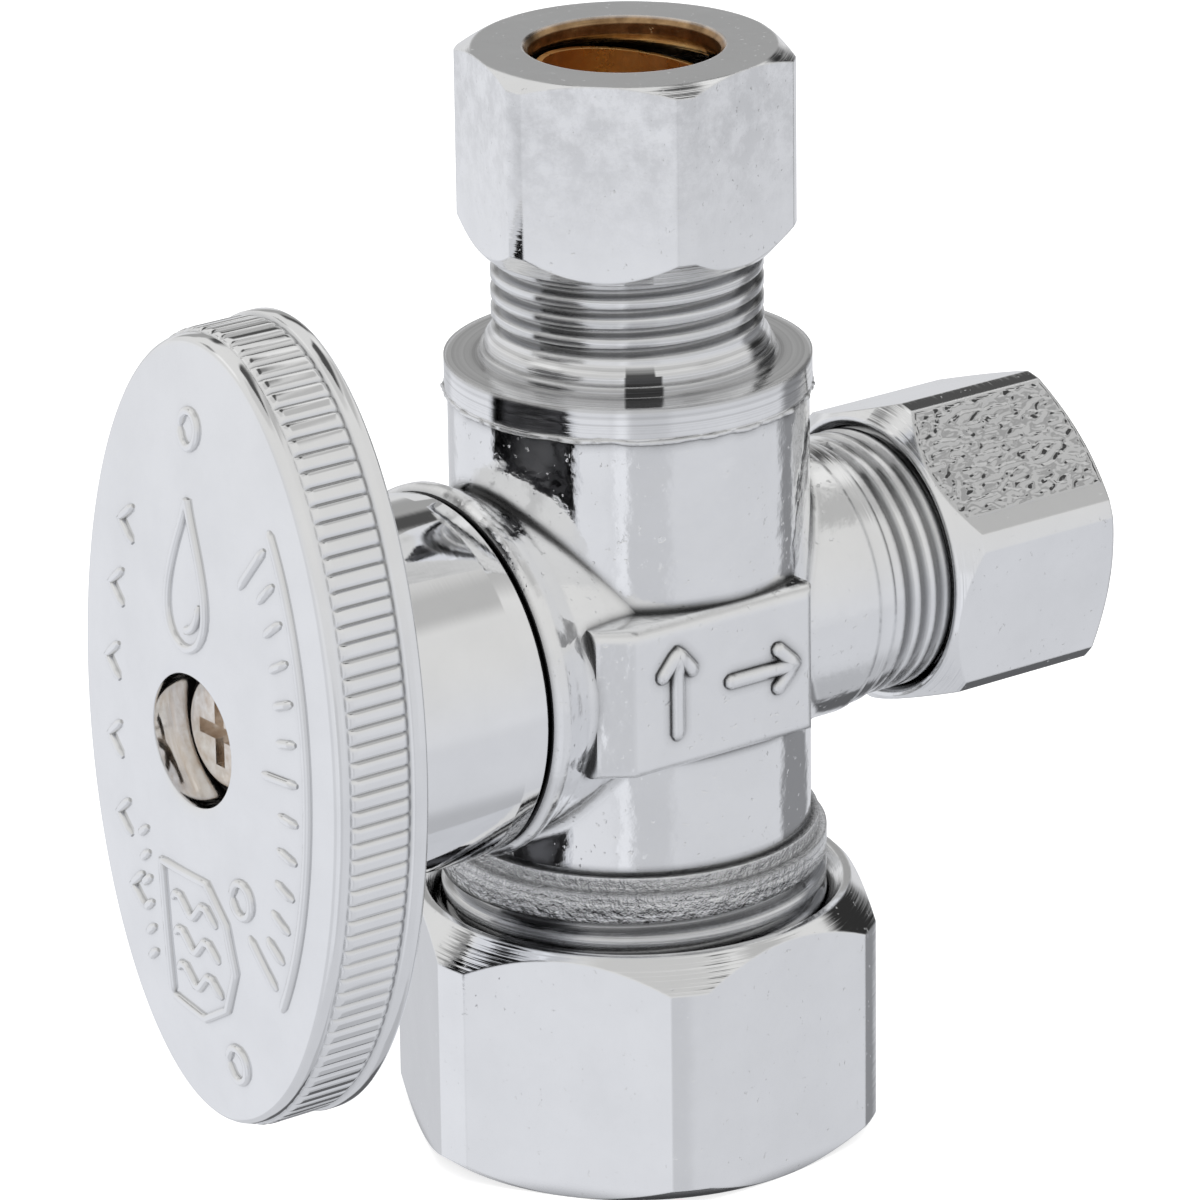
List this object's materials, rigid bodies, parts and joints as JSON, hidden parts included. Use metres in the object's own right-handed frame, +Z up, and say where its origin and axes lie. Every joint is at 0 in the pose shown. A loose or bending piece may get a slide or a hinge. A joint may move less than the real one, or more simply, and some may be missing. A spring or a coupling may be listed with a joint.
{
  "type": "angle stop valve",
  "caption": "Quarter-turn angle stop valve with compression nuts on its bottom inlet, top outlet and side outlet, and an oval ribbed handle.",
  "frame": {"origin": "centre of the inlet nut's outer end face, on the flow axis", "axes": "+Z up the flow axis to the top outlet, +X out of the side outlet, handle on -X, boss pad on -Y"},
  "size_m": [0.0548, 0.0248, 0.06],
  "materials": {
    "forged_chrome": "chrome plate over a forged, lightly pitted surface",
    "turned_chrome": "mirror chrome over turned brass",
    "nut_chrome": "chrome plate over drawn hexagon bar",
    "handle_chrome": "chrome plate over a die-cast handle",
    "screw_steel": "nickel with a yellow cast",
    "plain_brass": "turned",
    "sleeve_brass": "bright turned",
    "ball_chrome": "polished",
    "seat_plastic": "waxy white fluoropolymer",
    "seal_rubber": "moulded"
  },
  "bodies": {
    "valve": {"valve_body": "forged_chrome", "bonnet": "turned_chrome", "bonnet_o_ring": "seal_rubber", "stem_thrust_washer": "seat_plastic", "inlet_seat": "seat_plastic", "outlet_seat": "seat_plastic", "seat_retainer": "plain_brass"},
    "handle": {"handle": "handle_chrome", "handle_screw": "screw_steel", "screw_lock_washer": "screw_steel", "stem": "plain_brass", "stem_o_ring_inner": "seal_rubber", "stem_o_ring_outer": "seal_rubber"},
    "ball": {"ball": "ball_chrome"},
    "inlet_sleeve": {"inlet_ferrule": "sleeve_brass"},
    "inlet_nut": {"inlet_nut": "nut_chrome"},
    "top_sleeve": {"top_outlet_ferrule": "sleeve_brass"},
    "top_nut": {"top_outlet_nut": "nut_chrome"},
    "side_sleeve": {"side_outlet_ferrule": "sleeve_brass"},
    "side_nut": {"side_outlet_nut": "nut_chrome"}
  },
  "joints": [
    {"name": "handle_turn", "type": "hinge", "parent": "valve", "child": "handle", "pos_m": [0, 0, 0.0282], "axis": [1, 0, 0], "range_deg": [0, 90]},
    {"name": "ball_turn", "type": "hinge", "parent": "valve", "child": "ball", "pos_m": [0, 0, 0.0282], "axis": [1, 0, 0], "range_deg": [0, 90]},
    {"name": "inlet_sleeve_slide", "type": "slide", "parent": "valve", "child": "inlet_sleeve", "axis": [0, 0, -1], "range_m": [-0.00072, 0.00566]},
    {"name": "inlet_nut_turn", "type": "hinge", "parent": "inlet_sleeve", "child": "inlet_nut", "pos_m": [0, 0, 0], "axis": [0, 0, -1], "range_deg": [-180, 1440]},
    {"name": "top_sleeve_slide", "type": "slide", "parent": "valve", "child": "top_sleeve", "axis": [0, 0, 1], "range_m": [-0.00054, 0.00319]},
    {"name": "top_nut_turn", "type": "hinge", "parent": "top_sleeve", "child": "top_nut", "pos_m": [0, 0, 0.0493], "axis": [0, 0, 1], "range_deg": [-180, 1080]},
    {"name": "side_sleeve_slide", "type": "slide", "parent": "valve", "child": "side_sleeve", "axis": [1, 0, 0], "range_m": [-0.00054, 0.00319]},
    {"name": "side_nut_turn", "type": "hinge", "parent": "side_sleeve", "child": "side_nut", "pos_m": [0.0159, 0, 0.0282], "axis": [1, 0, 0], "range_deg": [-180, 1080]}
  ],
  "couplings": [
    {"joint": "ball_turn", "follows": "handle_turn", "ratio": 1},
    {"joint": "inlet_sleeve_slide", "follows": "inlet_nut_turn", "m_per_rad": 0.00022458},
    {"joint": "top_sleeve_slide", "follows": "top_nut_turn", "m_per_rad": 0.00016843},
    {"joint": "side_sleeve_slide", "follows": "side_nut_turn", "m_per_rad": 0.00016843}
  ]
}
